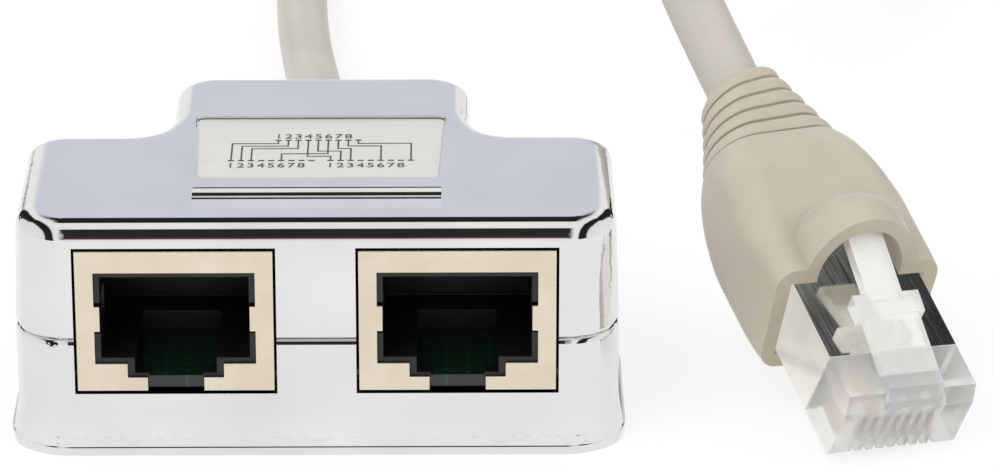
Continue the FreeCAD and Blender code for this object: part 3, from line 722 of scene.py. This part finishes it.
# %% Label print
label_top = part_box("wiring_label")[1].z
ink_depth = 0.02 * mm
line_width = 0.13
pin_pitch = 0.83
digit_size = 1.3
digit_stretch = 1.05
print_drop = 0.19
pin_half_length, pin_half_width = 0.26, 0.1
top_pins = (-3.45, 1.6)
left_pins = (-7.25, -2.75)
right_pins = (0.95, -2.75)
ink_mesh = bmesh.new()


def ink_bar(x0, x1, y0, y1):
    """One thin bar of ink, in millimetres on the label."""
    size = Vector(((x1 - x0) * mm, (y1 - y0) * mm, ink_depth))
    middle = Vector(((x0 + x1) / 2 * mm, (y0 + y1) / 2 * mm, ink_depth / 2))
    bmesh.ops.create_cube(ink_mesh, matrix=Matrix.LocRotScale(middle, None, size))


def pin_x(row, pin):
    """Where a pin of a row stands, from the left."""
    return row[0] + pin * pin_pitch


def ink_link(upper_pin, row, lower_pin, level):
    """A stepped line from a pin above down to a pin below, with its level run at this height."""
    half = line_width / 2
    above = pin_x(top_pins, upper_pin)
    below = pin_x(row, lower_pin)
    ink_bar(above - half, above + half, level - half, top_pins[1])
    ink_bar(below - half, below + half, row[1], level + half)
    ink_bar(min(above, below) + half, max(above, below) - half, level - half, level + half)


def ink_digit(digit, x, y):
    """One number, centred on x, standing on y."""
    data = bpy.data.curves.new("digit", "FONT")
    data.body = str(digit)
    data.size = digit_size * mm
    data.extrude = ink_depth / 2
    data.align_x = "CENTER"
    shape = bpy.data.objects.new("digit", data)
    mesh = bpy.data.meshes.new_from_object(shape)
    place = Vector((x * mm, y * mm, ink_depth / 2))
    mesh.transform(Matrix.LocRotScale(place, None, Vector((digit_stretch, 1.0, 1.0))))
    ink_mesh.from_mesh(mesh)
    bpy.data.objects.remove(shape)
    bpy.data.meshes.remove(mesh)


for row, number_y in ((top_pins, 2.0), (left_pins, -4.2), (right_pins, -4.2)):
    for pin in range(9):
        x = pin_x(row, pin)
        y = row[1]
        ink_bar(x - pin_half_length, x + pin_half_length, y - pin_half_width, y + pin_half_width)
        if pin < 8:
            ink_digit(pin + 1, x, number_y)
links = (
    (0, left_pins, 0, 0.9),
    (1, left_pins, 1, 0.35),
    (2, left_pins, 2, -0.2),
    (5, left_pins, 5, -1.3),
    (3, right_pins, 0, -1.85),
    (4, right_pins, 1, -0.75),
    (6, right_pins, 2, -0.2),
    (7, right_pins, 5, 0.35),
    (8, right_pins, 8, 0.9),
)
for upper_pin, row, lower_pin, level in links:
    ink_link(upper_pin, row, lower_pin, level)
print_data = bpy.data.meshes.new("label_print")
ink_mesh.to_mesh(print_data)
ink_mesh.free()
label_print = bpy.data.objects.new("label_print", print_data)
scene.collection.objects.link(label_print)
label_place = Matrix.Translation((0.0, rear_shift * mm, label_top - print_drop * mm))
label_print.matrix_world = label_place @ Matrix.Rotation(top_slope, 4, "X")
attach(label_print, "root")
print("ink faces:", len(print_data.polygons))

# %% Ink
ink, tree, shader, place = new_material("screen_printed_ink", {"Roughness": 0.55})
mottle = add_node(tree, "ShaderNodeTexNoise", {"Vector": place, "Scale": scale_for(0.4), "Detail": 2.0})
tone = add_node(
    tree, "ShaderNodeValToRGB", {"Fac": mottle.outputs["Fac"]}, stops=[(0.35, "#2E2E2C"), (0.75, "#646460")]
)
tree.links.new(tone.outputs["Color"], shader.inputs["Base Color"])
coat(ink, label_print)

# %% [markdown]
# ## Soft edges
#
# Real edges are never sharp. A bevel modifier rounds them without touching the CAD mesh. The packed
# mesh is cut apart along its edges, so a weld comes first and gives the bevel whole edges to work
# on.


# %% Edge rounding
def soften(names, radius, angle=35.0):
    """Round the hard edges of CAD nodes by this radius in millimetres."""
    for name in names:
        weld = nodes[name].modifiers.new("weld", "WELD")
        weld.merge_threshold = 0.001 * mm
        bevel = nodes[name].modifiers.new("edge", "BEVEL")
        bevel.width = radius * mm
        bevel.segments = 2
        bevel.limit_method = "ANGLE"
        bevel.angle_limit = math.radians(angle)
        bevel.harden_normals = True


soften(["jack_shield_left", "jack_shield_right"], 0.06)
soften(["jack_insert_left", "jack_insert_right"], 0.08)
soften(["plug_body"], 0.12)
print("softened:", [node.name for node in nodes.values() if node.modifiers])

# %% [markdown]
# ## Table and light
#
# The table is white, and the background has to stay white in the picture while the object still
# drops a soft shadow on it. So the floor is a pale diffuse surface that camera rays, reflections
# and refractions see a little brighter than it is. The light is one large soft lamp from the left,
# a weaker one from the right, and the room.

# %% Floor
floor_half = 2.0
floor_signs = ((-1, -1), (1, -1), (1, 1), (-1, 1))
floor_data = bpy.data.meshes.new("floor")
floor_data.from_pydata([(x * floor_half, y * floor_half, 0.0) for x, y in floor_signs], [], [(0, 1, 2, 3)])
floor = bpy.data.objects.new("floor", floor_data)
scene.collection.objects.link(floor)

floor_paint = bpy.data.materials.new("white_table")
floor_paint.use_nodes = True
tree = floor_paint.node_tree
tree.nodes.clear()
path = add_node(tree, "ShaderNodeLightPath")
seen = add_node(
    tree,
    "ShaderNodeMath",
    {0: path.outputs["Is Camera Ray"], 1: path.outputs["Is Glossy Ray"]},
    operation="MAXIMUM",
)
seen = add_node(
    tree,
    "ShaderNodeMath",
    {0: seen.outputs[0], 1: path.outputs["Is Transmission Ray"]},
    operation="MAXIMUM",
)
table = add_node(tree, "ShaderNodeBsdfDiffuse", {"Color": linear("#E6E6E4")})
faint_table = add_node(tree, "ShaderNodeBsdfDiffuse", {"Color": linear("#8C8C8C")})
glow = add_node(tree, "ShaderNodeEmission", {"Color": linear("#FFFFFF"), "Strength": 0.77})
bright_table = add_node(tree, "ShaderNodeAddShader", {0: faint_table.outputs[0], 1: glow.outputs[0]})
choice = add_node(
    tree,
    "ShaderNodeMixShader",
    {"Fac": seen.outputs[0], 1: table.outputs[0], 2: bright_table.outputs[0]},
)
add_node(tree, "ShaderNodeOutputMaterial", {"Surface": choice.outputs[0]})
coat(floor_paint, floor)

# %% [markdown]
# ## The room
#
# Chrome shows the room, so the room is part of the finish. Seen from the object, the studio goes
# from the front over the top to the back: white table, a dark front wall with warm light at its
# foot, one long white soft box overhead, a dark ceiling behind it, and a pale blue-grey back wall.
# The world draws that as a ramp over the angle between front and back. To the left and right a
# second ramp has white walls with a dark doorway in each. Matt surfaces get plain even light
# instead, and the background is plain white.

# %% World
world = bpy.data.worlds.new("studio")
scene.world = world
world.use_nodes = True
tree = world.node_tree
tree.nodes.clear()
direction = add_node(tree, "ShaderNodeTexCoord").outputs["Generated"]
axes = add_node(tree, "ShaderNodeSeparateXYZ", {"Vector": direction})
forward = add_node(tree, "ShaderNodeMath", {0: axes.outputs["Y"], 1: -1.0}, operation="MULTIPLY")
angle = add_node(
    tree, "ShaderNodeMath", {0: axes.outputs["Z"], 1: forward.outputs[0]}, operation="ARCTAN2"
)
share = add_node(tree, "ShaderNodeMath", {0: angle.outputs[0], 1: math.pi}, operation="DIVIDE")
room = add_node(
    tree,
    "ShaderNodeValToRGB",
    {"Fac": share.outputs[0]},
    stops=[
        (0.0, "#FFFFFF"),
        (0.03, "#FBEFEC"),
        (0.05, "#6B4642"),
        (0.09, "#302E2B"),
        (0.34, "#2C2C29"),
        (0.365, "#FFFFFF"),
        (0.575, "#FFFFFF"),
        (0.595, "#1C1E20"),
        (0.81, "#2A2C30"),
        (0.84, "#DDE1EB"),
        (0.94, "#E3E7EF"),
        (1.0, "#F4F6FA"),
    ],
)
sideways = add_node(tree, "ShaderNodeMath", {0: axes.outputs["X"]}, operation="ABSOLUTE")
flank = add_node(
    tree,
    "ShaderNodeValToRGB",
    {"Fac": sideways.outputs[0]},
    stops=[
        (0.0, "#FFFFFF"),
        (0.38, "#FFFFFF"),
        (0.42, "#1E2022"),
        (0.62, "#2A2A2A"),
        (0.66, "#F6F6F4"),
        (1.0, "#FFFFFF"),
    ],
)
is_flank = add_node(
    tree, "ShaderNodeMapRange", {"Value": sideways.outputs[0], "From Min": 0.14, "From Max": 0.24}
)
surroundings = add_node(
    tree,
    "ShaderNodeMix",
    {"Factor": is_flank.outputs[0], "A": room.outputs["Color"], "B": flank.outputs["Color"]},
    data_type="RGBA",
)
mirrored = add_node(
    tree, "ShaderNodeBackground", {"Color": surroundings.outputs["Result"], "Strength": 1.0}
)
even = add_node(tree, "ShaderNodeBackground", {"Color": linear("#FFFFFF"), "Strength": 0.72})
white = add_node(tree, "ShaderNodeBackground", {"Color": linear("#FFFFFF"), "Strength": 1.0})
path = add_node(tree, "ShaderNodeLightPath")
lit = add_node(
    tree,
    "ShaderNodeMixShader",
    {"Fac": path.outputs["Is Glossy Ray"], 1: even.outputs[0], 2: mirrored.outputs[0]},
)
plain = add_node(
    tree,
    "ShaderNodeMath",
    {0: path.outputs["Is Camera Ray"], 1: path.outputs["Is Transmission Ray"]},
    operation="MAXIMUM",
)
through = add_node(
    tree,
    "ShaderNodeMath",
    {0: plain.outputs[0], 1: path.outputs["Transmission Depth"]},
    operation="MAXIMUM",
)
sky = add_node(
    tree, "ShaderNodeMixShader", {"Fac": through.outputs[0], 1: lit.outputs[0], 2: white.outputs[0]}
)
add_node(tree, "ShaderNodeOutputWorld", {"Surface": sky.outputs[0]})
print("room nodes:", len(tree.nodes))


# %% Lamps
lamp_target = Vector((0.02, 0.01, 0.01))


def soft_lamp(name, place, size, power):
    """A square soft box that looks at the object. Place and size are in metres, power in watts."""
    data = bpy.data.lights.new(name, "AREA")
    data.size = size
    data.energy = power
    lamp = bpy.data.objects.new(name, data)
    scene.collection.objects.link(lamp)
    lamp.location = place
    lamp.rotation_euler = (Vector(place) - lamp_target).to_track_quat("Z", "Y").to_euler()
    lamp.visible_glossy = False
    print(name, "gives", power, "W")


soft_lamp("key_lamp", (-0.35, -0.40, 0.60), 0.5, 2.2)
soft_lamp("fill_lamp", (0.50, -0.15, 0.45), 0.5, 0.5)
scene.view_settings.view_transform = "Standard"
